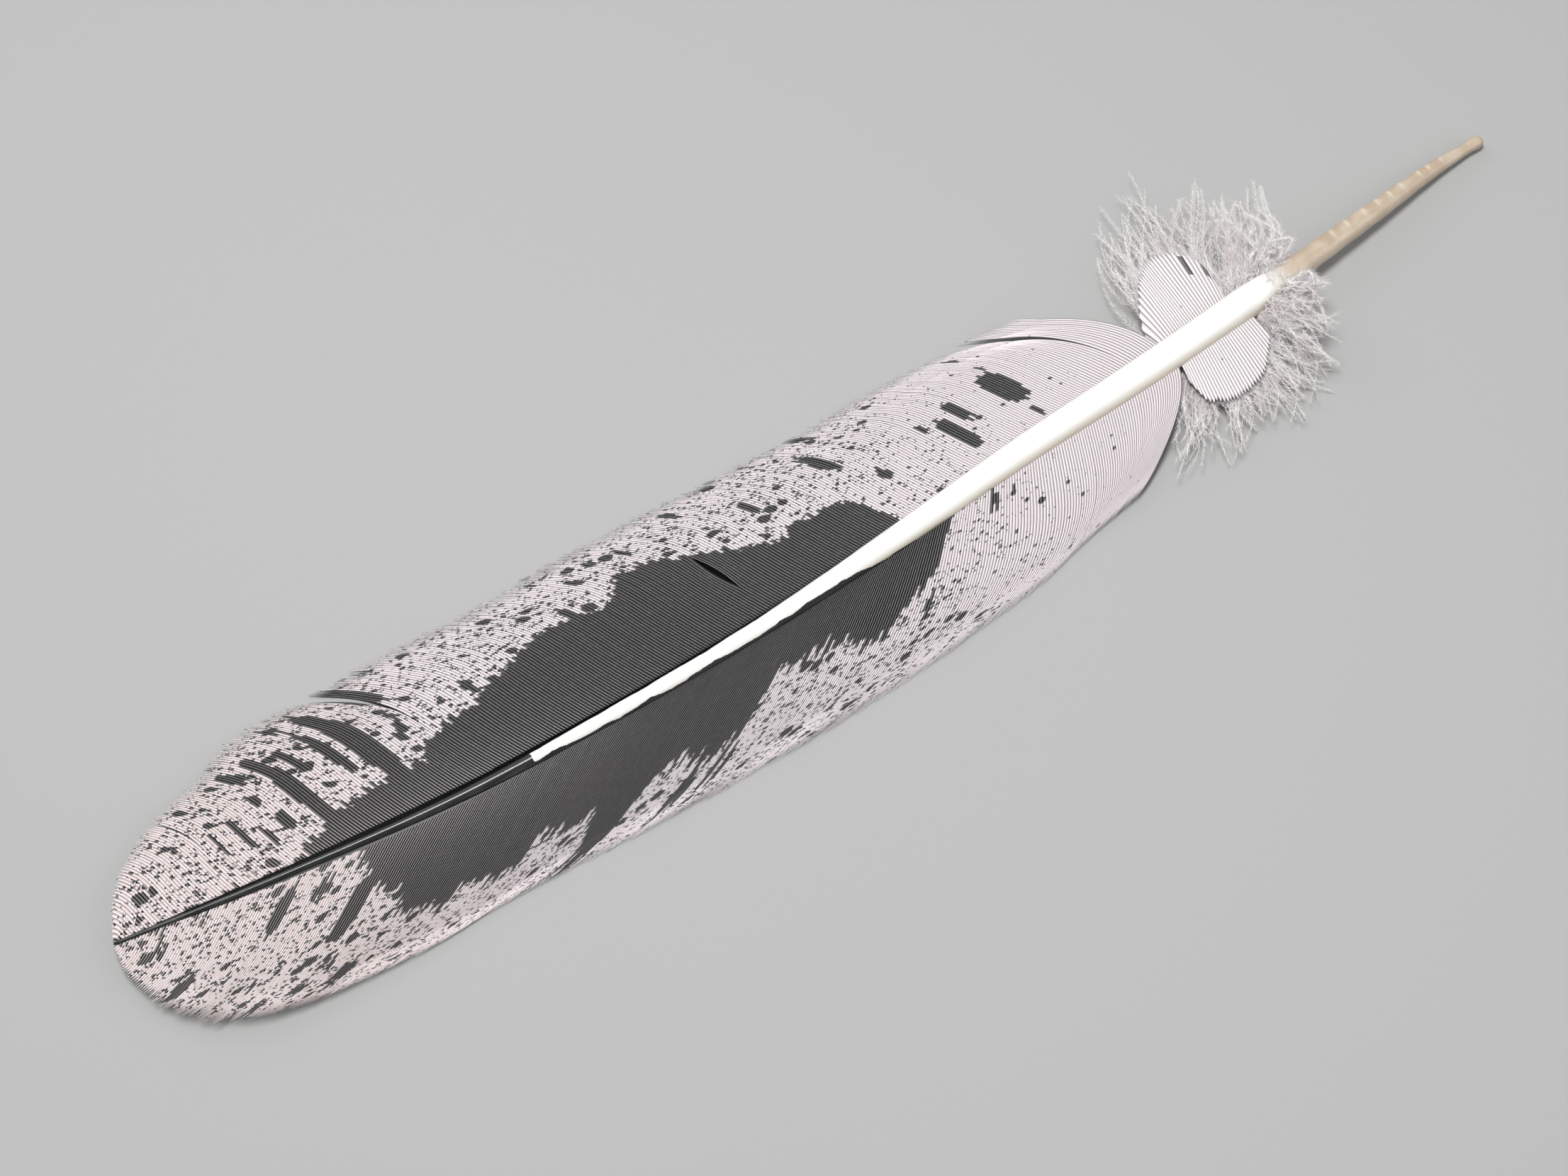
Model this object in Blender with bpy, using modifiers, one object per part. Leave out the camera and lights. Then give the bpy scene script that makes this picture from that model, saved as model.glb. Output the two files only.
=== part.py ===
"""A painted feather that lies on its underside, with its quill towards +X.

The feather is one grown piece. A tapered shaft carries two vanes, two short firm lobes and a
ruff of down. The vanes are one thin sheet whose rows are barbs: a row starts at the shaft,
runs outwards and bends towards the feather's tip. The lengths below are in millimetres, and
the finished solid is in metres with its box centred over the origin.
"""
import math

import bmesh
import bpy
import numpy as np

MM = 0.001

# The middle line of the shaft from the tip to the quill: station, side offset, height
SHAFT_LINE = np.array([
    [-150, 0.0, 3.2],
    [-120, -5.9, 4.7],
    [-90, -10.5, 5.8],
    [-60, -12.5, 6.6],
    [-30, -12.9, 6.9],
    [0, -11.6, 7.0],
    [30, -9.4, 6.6],
    [60, -7.9, 5.9],
    [90, -5.6, 4.8],
    [120, -2.5, 3.3],
    [138, -0.5, 2.1],
    [150, 0.0, 1.4],
])

# The radius of the shaft and the quill: station, radius
SHAFT_RADIUS = np.array([
    [-150, 0.40],
    [-120, 0.60],
    [-90, 0.95],
    [-60, 1.45],
    [-30, 1.70],
    [0, 2.30],
    [30, 2.70],
    [60, 3.00],
    [86, 3.15],
    [100, 2.40],
    [120, 2.05],
    [136, 1.55],
    [146, 1.10],
    [148.7, 1.35],
    [150, 1.10],
])
SHAFT_STEP = 7.5
SHAFT_SIDES = 10
QUILL_END_KNOTS = 4

# Barbs of the upper vane: root on the shaft, then the barb's end along and across the shaft
UPPER_LOCK = np.array([
    [59.0, 38.2, 28.6],
    [62.0, 43.0, 26.6],
    [65.0, 47.5, 26.0],
])
UPPER_BODY = np.array([
    [-79.6, -100.4, 32.7],
    [-65.0, -85.9, 34.4],
    [-46.0, -67.3, 34.4],
    [-29.0, -50.4, 35.5],
    [-14.0, -34.3, 34.8],
    [2.0, -17.7, 33.5],
    [18.5, -0.9, 31.7],
    [37.0, 16.8, 30.4],
    [55.0, 34.5, 27.4],
    [58.6, 39.4, 25.2],
])
UPPER_END = np.array([
    [-149.3, -150.1, 0.9],
    [-144.3, -147.9, 6.1],
    [-137.0, -144.0, 12.0],
    [-122.5, -134.3, 19.8],
    [-109.0, -124.3, 25.0],
    [-100.5, -118.3, 28.9],
    [-91.5, -110.8, 31.4],
    [-84.5, -104.7, 32.1],
    [-80.0, -99.4, 30.8],
])

# Barbs of the lower vane, in the same three columns
LOWER = np.array([
    [-149.5, -150.6, -0.9],
    [-138.0, -151.1, -4.2],
    [-127.0, -150.2, -10.5],
    [-115.5, -146.8, -16.8],
    [-109.0, -144.1, -19.3],
    [-97.0, -134.7, -22.4],
    [-84.5, -122.6, -22.3],
    [-70.0, -107.5, -21.2],
    [-57.0, -95.0, -19.4],
    [-26.0, -64.0, -19.3],
    [0.0, -33.0, -20.3],
    [20.0, -3.0, -21.0],
    [34.0, 19.0, -20.8],
    [44.0, 29.3, -19.4],
    [65.5, 43.8, -18.0],
])

# Firm lobes between the vanes and the down, in the same three columns
UPPER_LOBE = np.array([
    [65.5, 74.5, 18.6],
    [70.0, 77.0, 19.6],
    [75.0, 80.5, 18.9],
    [82.0, 84.2, 13.5],
])
LOWER_LOBE = np.array([
    [67.0, 65.2, -12.0],
    [75.0, 72.0, -14.0],
    [84.0, 83.0, -11.0],
])

# How far a barb has gone along its run, as shares of a straight run and of a late bend
BEND_SHARE = 0.38
BEND_POWER = 6
BASE_BLEND = (48.0, 65.0)
COLUMNS = (0.22, 0.42, 0.60, 0.74, 0.85, 0.93, 1.0)
ROWS_LOCK, ROWS_BODY, ROWS_END = 3, 31, 19

# The sheet's thickness, and the height of its middle where the vane rests on its edge
SHEET = 0.6
EDGE_HEIGHT = SHEET / 2
DROOP_POWER = 1.7
FLAT_FROM = 0.85
TIP_LIFT, TIP_LIFT_FROM, TIP_LIFT_OVER = 2.6, -92.0, 58.0
BASE_LIFT, BASE_LIFT_FROM, BASE_LIFT_OVER = 3.0, 22.0, 45.0
LOBE_EDGE_HEIGHT = 4.2
LOBE_ROWS = LOBE_COLUMNS = 6

# Slits between barbs: ends along and across the shaft, and width
SLITS = (
    ((-32.8, 19.4), (-26.9, 10.0), 1.1),
    ((-138.0, 28.5), (-132.9, 9.7), 1.0),
)
SLIT_SIDES = 10
SLIT_DEPTH = 20.0

# Down: the fan's middle on the shaft, and its reach by the angle from the quill, in degrees
FAN_STATION = 84.0
UPPER_FAN = np.array([[14, 13], [37, 24], [49, 30], [61, 29], [79, 30], [93, 43], [103, 39], [118, 32]])
LOWER_FAN = np.array([[18, 16], [47, 18], [60, 22], [84, 27], [120, 27], [132, 33], [139, 43], [155, 44]])
LOCKS_PER_SIDE = 26
LOCK_ROOTS = (96.0, 70.0)
LOCK_HEIGHTS = (1.4, 5.5, 3.0, 8.5)
LOCK_LENGTHS = (1.0, 0.86, 0.96, 0.72)
LOCK_RISE = 2.2
LOCK_RADII = (1.3, 1.5, 1.35, 1.0, 0.6, 0.25)
LOCK_CURL = 2.5
LOCK_SIDES = 6

FEATHER_COLOUR = (0.78, 0.74, 0.74, 1.0)
FEATHER_ROUGHNESS = 0.6
WELD = 0.00001


def smooth_through(knots, values, at):
    """A smooth line through given values: a cubic on each stretch, with the mean slopes at its ends."""
    slopes = np.gradient(values, knots)
    i = np.clip(np.searchsorted(knots, at) - 1, 0, len(knots) - 2)
    run = knots[i + 1] - knots[i]
    t = (at - knots[i]) / run
    ease = t * t * (3 - 2 * t)
    level = values[i] * (1 - ease) + values[i + 1] * ease
    return level + run * (t * (1 - t) ** 2 * slopes[i] - t * t * (1 - t) * slopes[i + 1])


def ease_in(at, start, over):
    """Zero before start, one after start + over, and a soft step between them."""
    t = np.clip((at - start) / over, 0.0, 1.0)
    return t * t * (3 - 2 * t)


def shaft_side(x):
    """How far the shaft's middle line lies to the side at this station."""
    return smooth_through(SHAFT_LINE[:, 0], SHAFT_LINE[:, 1], x)


def shaft_height(x):
    """How high the shaft's middle line lies at this station."""
    return smooth_through(SHAFT_LINE[:, 0], SHAFT_LINE[:, 2], x)


def edge_height(x):
    """The vane's edge rests in the middle of the feather, and lifts towards its tip and its base."""
    tip = TIP_LIFT * ease_in(-x, -TIP_LIFT_FROM, TIP_LIFT_OVER)
    base = BASE_LIFT * ease_in(x, BASE_LIFT_FROM, BASE_LIFT_OVER)
    return EDGE_HEIGHT + tip + base


def barb_ends(stations, roots):
    """Where the barbs with these roots end, along and across the shaft."""
    along = smooth_through(stations[:, 0], stations[:, 1], roots)
    across = smooth_through(stations[:, 0], stations[:, 2], roots)
    return np.column_stack([along, across])


def barb_progress(t, root):
    """The share of a barb's run along the shaft at the share t of its reach across it."""
    body = (1 - BEND_SHARE) * t + BEND_SHARE * t ** BEND_POWER
    base = ease_in(root, BASE_BLEND[0], BASE_BLEND[1] - BASE_BLEND[0])
    return body * (1 - base) + t * t * base


def vane_point(root, end, t):
    """A point of a vane, in metres: t is the share of the barb's reach across the shaft."""
    x = root + (end[0] - root) * barb_progress(t, root)
    across = end[1] * t
    droop = min(t / FLAT_FROM, 1.0) ** DROOP_POWER
    z = shaft_height(x) * (1 - droop) + edge_height(x) * droop
    return np.array([x, shaft_side(x) + across, z]) * MM


def lobe_point(root, end, t):
    """A point of a firm lobe, in metres: its barbs are straight and droop less."""
    x = root + (end[0] - root) * t
    z = shaft_height(x) * (1 - t * t) + LOBE_EDGE_HEIGHT * t * t
    return np.array([x, shaft_side(x) + end[1] * t, z]) * MM


def new_collection(name):
    """A collection of this name in the scene."""
    collection = bpy.data.collections.new(name)
    bpy.context.scene.collection.children.link(collection)
    return collection


def keratin():
    """The pale matt horn that the whole feather is made of."""
    material = bpy.data.materials.new("feather keratin")
    material.use_nodes = True
    shader = material.node_tree.nodes["Principled BSDF"]
    shader.inputs["Base Color"].default_value = FEATHER_COLOUR
    shader.inputs["Roughness"].default_value = FEATHER_ROUGHNESS
    shader.inputs["Metallic"].default_value = 0.0
    return material


def as_guide(thing):
    """Keep this out of the finished model: it only cuts or joins."""
    thing.hide_render = True
    thing.display_type = "WIRE"
    return thing


def sheet(name, points, collection):
    """A flat grid whose vertices are moved to rows of points, thickened on both sides."""
    rows, columns = points.shape[:2]
    grid = bmesh.new()
    bmesh.ops.create_grid(grid, x_segments=rows - 1, y_segments=columns - 1, size=1.0)
    for vertex in grid.verts:
        row = round((vertex.co.x + 1) / 2 * (rows - 1))
        column = round((vertex.co.y + 1) / 2 * (columns - 1))
        vertex.co = points[row, column]
    mesh = bpy.data.meshes.new(name)
    grid.to_mesh(mesh)
    grid.free()
    thing = bpy.data.objects.new(name, mesh)
    collection.objects.link(thing)
    solidify = thing.modifiers.new("sheet thickness", "SOLIDIFY")
    solidify.thickness = SHEET * MM
    solidify.offset = 0.0
    return thing


def solid_from_curve(curve, name, collection):
    """The curve's tubes as one mesh with welded caps, in place of the curve."""
    collection.objects.link(curve)
    graph = bpy.context.evaluated_depsgraph_get()
    mesh = bpy.data.meshes.new_from_object(curve.evaluated_get(graph))
    tubes = bmesh.new()
    tubes.from_mesh(mesh)
    bmesh.ops.remove_doubles(tubes, verts=tubes.verts, dist=WELD)
    tubes.to_mesh(mesh)
    tubes.free()
    thing = bpy.data.objects.new(name, mesh)
    thing.matrix_world = curve.matrix_world
    collection.objects.link(thing)
    bpy.data.objects.remove(curve)
    return thing


def tube_curve(name, runs, sides):
    """One curve object with a tapered tube for each run of points and radii, in metres."""
    data = bpy.data.curves.new(name, "CURVE")
    data.dimensions = "3D"
    data.bevel_depth = 1.0
    data.bevel_resolution = sides // 2 - 2
    data.use_fill_caps = True
    for points, radii in runs:
        spline = data.splines.new("POLY")
        spline.points.add(len(points) - 1)
        for knot, point, radius in zip(spline.points, points, radii):
            knot.co = (*point, 1.0)
            knot.radius = radius
    return bpy.data.objects.new(name, data)


def shaft(collection):
    """The quill and the shaft: a round taper along the middle line, with a knob at the quill's end."""
    quill_end = SHAFT_RADIUS[-QUILL_END_KNOTS:, 0]
    x = np.append(np.arange(SHAFT_LINE[0, 0], quill_end[0], SHAFT_STEP), quill_end)
    points = np.column_stack([x, shaft_side(x), shaft_height(x)]) * MM
    radii = np.interp(x, SHAFT_RADIUS[:, 0], SHAFT_RADIUS[:, 1]) * MM
    curve = tube_curve("shaft line", [(points, radii)], SHAFT_SIDES)
    return as_guide(solid_from_curve(curve, "shaft solid", collection))


def vanes(collection):
    """Both vanes as one sheet across the shaft, a row for every few barbs."""
    stretches = ((UPPER_END, ROWS_END), (UPPER_BODY, ROWS_BODY), (UPPER_LOCK, ROWS_LOCK))
    rows = []
    for stations, count in stretches:
        roots = np.linspace(stations[0, 0], stations[-1, 0], count)
        uppers = barb_ends(stations, roots)
        lowers = barb_ends(LOWER, np.clip(roots, LOWER[0, 0], LOWER[-1, 0]))
        for root, upper, lower in zip(roots, uppers, lowers):
            row = [vane_point(root, lower, t) for t in reversed(COLUMNS)]
            row.append(vane_point(root, upper, 0.0))
            row.extend(vane_point(root, upper, t) for t in COLUMNS)
            rows.append(row)
    return sheet("feather", np.array(rows), collection)


def lobe(name, stations, collection):
    """A short firm lobe beside the shaft."""
    roots = np.linspace(stations[0, 0], stations[-1, 0], LOBE_ROWS)
    shares = np.linspace(0.0, 1.0, LOBE_COLUMNS)
    if stations[0, 2] < 0:
        shares = shares[::-1]
    ends = barb_ends(stations, roots)
    rows = [[lobe_point(root, end, t) for t in shares] for root, end in zip(roots, ends)]
    return as_guide(sheet(name, np.array(rows), collection))


def lock_run(root_x, side, angle, reach, height, curl):
    """One lock of down: a bent taper from inside the shaft out to the edge of the fan."""
    t = np.linspace(0.0, 1.0, len(LOCK_RADII))
    x = root_x + (FAN_STATION + reach * math.cos(angle) - root_x) * t
    across = side * (reach * math.sin(angle) * t + curl * math.cos(angle) * np.sin(math.pi * t))
    start = shaft_height(root_x)
    rise = LOCK_RISE * min(1.0, height / start) * np.sin(math.pi * t)
    points = np.column_stack([x, shaft_side(x) + across, start + (height - start) * t + rise])
    return points * MM, np.array(LOCK_RADII) * MM


def down(collection):
    """The ruff of down: locks that fan out on both sides of the quill's top, in layers."""
    runs = []
    roots = np.linspace(*LOCK_ROOTS, LOCKS_PER_SIDE)
    for side, fan in ((1, UPPER_FAN), (-1, LOWER_FAN)):
        turns = np.linspace(fan[0, 0], fan[-1, 0], LOCKS_PER_SIDE)
        reaches = np.interp(turns, fan[:, 0], fan[:, 1])
        for i in range(LOCKS_PER_SIDE):
            layer = i % len(LOCK_HEIGHTS)
            reach = reaches[i] * LOCK_LENGTHS[layer]
            curl = LOCK_CURL if i % 2 else -LOCK_CURL
            angle = math.radians(turns[i])
            runs.append(lock_run(roots[i], side, angle, reach, LOCK_HEIGHTS[layer], curl))
    return as_guide(solid_from_curve(tube_curve("lock lines", runs, LOCK_SIDES), "down solid", collection))


def slit(name, outer, inner, width, collection):
    """A thin upright lens that parts the barbs between its two ends."""
    ends = [np.array([x, shaft_side(x) + across]) for x, across in (outer, inner)]
    middle = (ends[0] + ends[1]) / 2
    run = ends[1] - ends[0]
    cut = bmesh.new()
    bmesh.ops.create_cone(cut, cap_ends=True, segments=SLIT_SIDES, radius1=0.5, radius2=0.5, depth=1.0)
    mesh = bpy.data.meshes.new(name)
    cut.to_mesh(mesh)
    cut.free()
    thing = bpy.data.objects.new(name, mesh)
    thing.location = (middle[0] * MM, middle[1] * MM, 0.0)
    thing.rotation_euler = (0.0, 0.0, math.atan2(run[1], run[0]))
    thing.scale = (math.hypot(*run) * MM, width * MM, SLIT_DEPTH * MM)
    collection.objects.link(thing)
    return as_guide(thing)


def combine(target, tool, operation, overlapping=False):
    """Cut the tool out of the target, or join it on. An overlapping tool crosses itself."""
    step = target.modifiers.new(f"{operation.lower()} {tool.name}", "BOOLEAN")
    step.operation = operation
    step.solver = "EXACT"
    step.use_self = overlapping
    step.object = tool


def box_middle(thing):
    """The middle of the finished solid's box on X and Y."""
    graph = bpy.context.evaluated_depsgraph_get()
    mesh = thing.evaluated_get(graph).to_mesh()
    corners = np.empty(len(mesh.vertices) * 3)
    mesh.vertices.foreach_get("co", corners)
    corners = corners.reshape(-1, 3)
    return (corners.min(axis=0) + corners.max(axis=0)) / 2


def carry_on_frame(collections, middle):
    """Hang every object on one empty that brings the box's middle over the origin."""
    frame = bpy.data.objects.new("feather frame", None)
    frame.location = (-middle[0], -middle[1], 0.0)
    collections[0].objects.link(frame)
    for collection in collections:
        for thing in collection.objects:
            if thing is not frame:
                thing.parent = frame


def build():
    for thing in list(bpy.data.objects):
        bpy.data.objects.remove(thing)
    parts = new_collection("painted feather")
    guides = new_collection("cutters")

    feather = vanes(parts)
    feather.data.materials.append(keratin())
    for number, (outer, inner, width) in enumerate(SLITS):
        combine(feather, slit(f"slit {number}", outer, inner, width, guides), "DIFFERENCE")
    combine(feather, shaft(guides), "UNION")
    combine(feather, lobe("upper lobe", UPPER_LOBE, guides), "UNION")
    combine(feather, lobe("lower lobe", LOWER_LOBE, guides), "UNION")
    combine(feather, down(guides), "UNION", overlapping=True)
    carry_on_frame((parts, guides), box_middle(feather))


build()
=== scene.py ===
# %% [markdown]
# # A painted feather
# This script dresses the plain model of one large quill feather. It lies on its underside and
# its quill points to +X. A feather is a shaft with two vanes, and each vane is a row of some
# 370 barbs. So the barbs are grown one by one, as thin ridged strips that lie edge to edge, on
# the same surface as the plain model. Lengths are in millimetres until a mesh is made.

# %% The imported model
import math

import bpy
import numpy as np
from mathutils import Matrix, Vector


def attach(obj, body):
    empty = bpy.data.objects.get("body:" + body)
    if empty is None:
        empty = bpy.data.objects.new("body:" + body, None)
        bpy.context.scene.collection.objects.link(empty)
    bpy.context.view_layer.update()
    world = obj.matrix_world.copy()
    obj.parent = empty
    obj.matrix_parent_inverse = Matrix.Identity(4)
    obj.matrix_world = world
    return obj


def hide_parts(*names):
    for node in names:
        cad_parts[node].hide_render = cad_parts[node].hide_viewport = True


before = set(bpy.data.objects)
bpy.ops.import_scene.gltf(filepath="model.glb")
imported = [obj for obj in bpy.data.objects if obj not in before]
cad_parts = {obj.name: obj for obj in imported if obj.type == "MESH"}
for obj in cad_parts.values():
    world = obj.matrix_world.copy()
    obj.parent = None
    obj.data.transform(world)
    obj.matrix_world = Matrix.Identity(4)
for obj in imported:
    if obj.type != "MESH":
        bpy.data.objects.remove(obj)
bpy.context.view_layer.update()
BODY = "root"
NODE = "feather"
MM = 0.001

# %% [markdown]
# ## The camera and the light
# The feather is seen from 60 degrees above the floor, with its tip at the lower left. The
# camera comes first. The light is plain: a large soft lamp just above the camera gives the sheen
# along the shaft and a short shadow below the lower edge, and weak lamps keep the shadows open.

# %% The camera
# From the feather's middle line to the middle of the plain model's box
FRAME_SHIFT = np.array([0.51086, 0.43262, 0.0])
CAMERA_AT = np.array([-162.599, -212.703, 436.367])
CAMERA_TILT = 30.0
CAMERA_TURN = -34.59
FOCAL_LENGTH = 64.8
SENSOR_WIDTH = 36.0


def in_place(points):
    """Millimetres along the feather's middle line to metres in the model's frame."""
    return (np.asarray(points, dtype=float) + FRAME_SHIFT) * MM


camera = bpy.data.objects.new("camera", bpy.data.cameras.new("camera"))
camera.data.lens = FOCAL_LENGTH
camera.data.sensor_width = SENSOR_WIDTH
camera.data.clip_start = 0.01
camera.location = in_place(CAMERA_AT)
camera.rotation_euler = (math.radians(CAMERA_TILT), 0.0, math.radians(CAMERA_TURN))
bpy.context.scene.collection.objects.link(camera)
bpy.context.scene.camera = camera
print("camera at", [round(value, 4) for value in camera.location])

# %% The lamps and the sky
# Each lamp: across the view, up the view and towards the viewer, then its size, all in metres,
# and its power in watts
LAMPS = {
    "key": (-0.10, 0.42, 0.75, 0.30, 7.5),
    "side": (0.75, 0.10, 0.45, 0.60, 1.6),
    "back": (-0.60, 0.70, 0.10, 0.60, 1.6),
}
SKY_COLOUR = (0.96, 0.98, 1.0, 1.0)
SKY_STRENGTH = 0.32

turn = camera.rotation_euler.to_matrix()
for name, (across, up, forward, size, watts) in LAMPS.items():
    lamp = bpy.data.objects.new(name, bpy.data.lights.new(name, "AREA"))
    lamp.data.shape = "DISK"
    lamp.data.size = size
    lamp.data.energy = watts
    lamp.location = turn @ Vector((across, up, forward))
    lamp.rotation_euler = lamp.location.to_track_quat("Z", "Y").to_euler()
    bpy.context.scene.collection.objects.link(lamp)
sky = bpy.data.worlds.new("sky")
sky.use_nodes = True
background = sky.node_tree.nodes["Background"].inputs
background["Color"].default_value = SKY_COLOUR
background["Strength"].default_value = SKY_STRENGTH
bpy.context.scene.world = sky
bpy.context.scene.view_settings.view_transform = "Standard"
print("lamps:", ", ".join(LAMPS))

# %% [markdown]
# ## The lines that the feather is drawn from
# A grown thing has no straight lines, but a few stations along it are enough: a smooth line
# goes through them. These are the lines of the plain model. The first gives the shaft's gentle
# bow and its arch above the floor. The others give each barb's root on the shaft and the place
# where it ends, along and across the shaft.

# %% Stations along the shaft and along the edges
SHAFT_LINE = np.array([
    [-150, 0.0, 3.2], [-120, -5.9, 4.7], [-90, -10.5, 5.8], [-60, -12.5, 6.6],
    [-30, -12.9, 6.9], [0, -11.6, 7.0], [30, -9.4, 6.6], [60, -7.9, 5.9],
    [90, -5.6, 4.8], [120, -2.5, 3.3], [138, -0.5, 2.1], [150, 0.0, 1.4],
])
SHAFT_RADIUS = np.array([
    [-150, 0.40], [-120, 0.60], [-90, 0.95], [-60, 1.45], [-30, 1.70], [0, 2.30],
    [30, 2.70], [60, 3.00], [86, 3.15], [100, 2.40], [120, 2.05], [136, 1.55],
    [146, 1.10], [148.7, 1.35], [150, 1.10],
])
WIDE_LOCK = np.array([[59.0, 36.8, 28.5], [62.0, 43.0, 26.6], [65.0, 47.5, 26.0]])
WIDE_BODY = np.array([
    [-81.2, -100.4, 32.7], [-67.5, -85.9, 34.4], [-49.0, -67.3, 34.4],
    [-32.0, -50.4, 35.5], [-16.0, -34.3, 34.8], [0.0, -17.7, 33.5],
    [16.5, -0.9, 31.7], [34.5, 16.8, 30.4], [53.5, 34.5, 27.4], [58.6, 39.8, 25.6],
])
WIDE_END = np.array([
    [-149.3, -150.1, 0.9], [-146.0, -147.9, 6.1], [-140.3, -144.0, 12.0],
    [-126.5, -134.3, 19.8], [-113.0, -124.3, 25.0], [-104.5, -118.3, 28.9],
    [-95.3, -110.8, 31.4], [-88.2, -104.7, 32.1], [-81.6, -99.4, 30.8],
])
NARROW = np.array([
    [-149.5, -150.6, -0.9], [-145.3, -151.1, -4.2], [-136.0, -150.2, -10.5],
    [-122.0, -146.8, -16.8], [-114.0, -144.1, -19.3], [-97.5, -134.7, -22.4],
    [-80.0, -122.6, -22.3], [-64.0, -107.5, -21.2], [-51.0, -95.0, -19.4],
    [-19.0, -64.0, -19.3], [9.0, -33.0, -20.3], [28.0, -3.0, -21.0],
    [40.0, 19.0, -20.8], [48.0, 29.3, -19.4], [65.5, 43.8, -18.0],
])
WIDE_LOBE = np.array([
    [65.4, 64.0, 5.0], [66.8, 67.3, 11.1], [68.8, 71.0, 15.8], [71.5, 74.0, 18.4],
    [74.5, 77.0, 19.6], [77.5, 81.0, 18.4], [79.6, 83.6, 15.2], [81.0, 84.4, 11.0],
    [82.2, 83.6, 6.5],
])
NARROW_LOBE = np.array([
    [66.6, 65.6, -6.0], [68.2, 65.6, -10.4], [71.0, 68.0, -13.2], [75.5, 73.0, -14.4],
    [80.0, 79.0, -13.0], [84.2, 84.6, -8.0],
])


def smooth_through(knots, values, at):
    """A cubic on each stretch between two knots, with the mean of the slopes at its ends."""
    slopes = np.gradient(values, knots)
    i = np.clip(np.searchsorted(knots, at) - 1, 0, len(knots) - 2)
    run = knots[i + 1] - knots[i]
    t = (at - knots[i]) / run
    ease = t * t * (3 - 2 * t)
    level = values[i] * (1 - ease) + values[i + 1] * ease
    return level + run * (t * (1 - t) ** 2 * slopes[i] - t * t * (1 - t) * slopes[i + 1])


def ease_in(at, start, over):
    """Zero before start, one after start + over, and 3 t squared less 2 t cubed between."""
    t = np.clip((at - start) / over, 0.0, 1.0)
    return t * t * (3 - 2 * t)


def shaft_side(x):
    """How far the shaft's bow lies to the side."""
    return smooth_through(SHAFT_LINE[:, 0], SHAFT_LINE[:, 1], x)


def shaft_height(x):
    """The height of the shaft's middle above the floor."""
    return smooth_through(SHAFT_LINE[:, 0], SHAFT_LINE[:, 2], x)


def shaft_radius(x):
    """Straight tapers between the stations."""
    return np.interp(x, SHAFT_RADIUS[:, 0], SHAFT_RADIUS[:, 1])


middle = np.linspace(-150.0, 150.0, 601)
steps = np.hypot(np.diff(middle), np.diff(shaft_side(middle)))
print(f"shaft: {steps.sum():.1f} mm along its bow, {shaft_height(middle).max():.1f} mm high")

# %% [markdown]
# ## A mesh from arrays
# Each piece below is worked out as arrays of points, so one helper turns arrays into an
# object. It also does three things that are easy to forget: it checks which way the faces point
# by the sign of the volume that they enclose, it stores any value that a material needs as an
# attribute of the points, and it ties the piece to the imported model.

# %% From arrays to a piece
BAKE_MAP = "OFBake"
pieces = {}


def enclosed_volume(points, faces):
    """A sum over the faces, cut into triangles: a sixth of the box that three corners span."""
    total = 0.0
    for group in faces:
        a = points[group[:, 0]]
        for second in range(1, group.shape[1] - 1):
            b, c = points[group[:, second]], points[group[:, second + 1]]
            total += np.einsum("ij,ij->", a, np.cross(b, c)) / 6
    return total


def make_piece(name, points, faces, material, values=None, chart=None):
    """One closed mesh. faces is a list of arrays, each with one count of corners. values are
    numbers on the points for the material, and chart is a flat place for each face corner."""
    points = in_place(points)
    if enclosed_volume(points, faces) < 0:
        faces = [group[:, ::-1] for group in faces]
        chart = chart and [group[:, ::-1] for group in chart]
    corners = np.concatenate([group.ravel() for group in faces])
    counts = np.concatenate([np.full(len(group), group.shape[1]) for group in faces])
    mesh = bpy.data.meshes.new(name)
    mesh.vertices.add(len(points))
    mesh.vertices.foreach_set("co", points.astype(np.float32).ravel())
    mesh.loops.add(len(corners))
    mesh.loops.foreach_set("vertex_index", corners.astype(np.int32))
    mesh.polygons.add(len(counts))
    starts = np.concatenate([[0], np.cumsum(counts)[:-1]])
    mesh.polygons.foreach_set("loop_start", starts.astype(np.int32))
    mesh.polygons.foreach_set("use_smooth", np.ones(len(counts), dtype=bool))
    mesh.update(calc_edges=True)
    for title, numbers in (values or {}).items():
        layer = mesh.attributes.new(title, "FLOAT", "POINT")
        layer.data.foreach_set("value", np.asarray(numbers, dtype=np.float32).ravel())
    if chart:
        layer = mesh.uv_layers.new(name=BAKE_MAP)
        places = np.concatenate([group.reshape(-1, 2) for group in chart])
        layer.uv.foreach_set("vector", places.astype(np.float32).ravel())
    mesh.materials.append(material)
    piece = bpy.data.objects.new(name, mesh)
    bpy.context.scene.collection.objects.link(piece)
    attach(piece, BODY)
    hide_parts(NODE)
    pieces[name] = piece
    triangles = int((counts - 2).sum())
    print(f"{name}: {len(points)} points, {triangles} triangles")
    return piece
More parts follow.
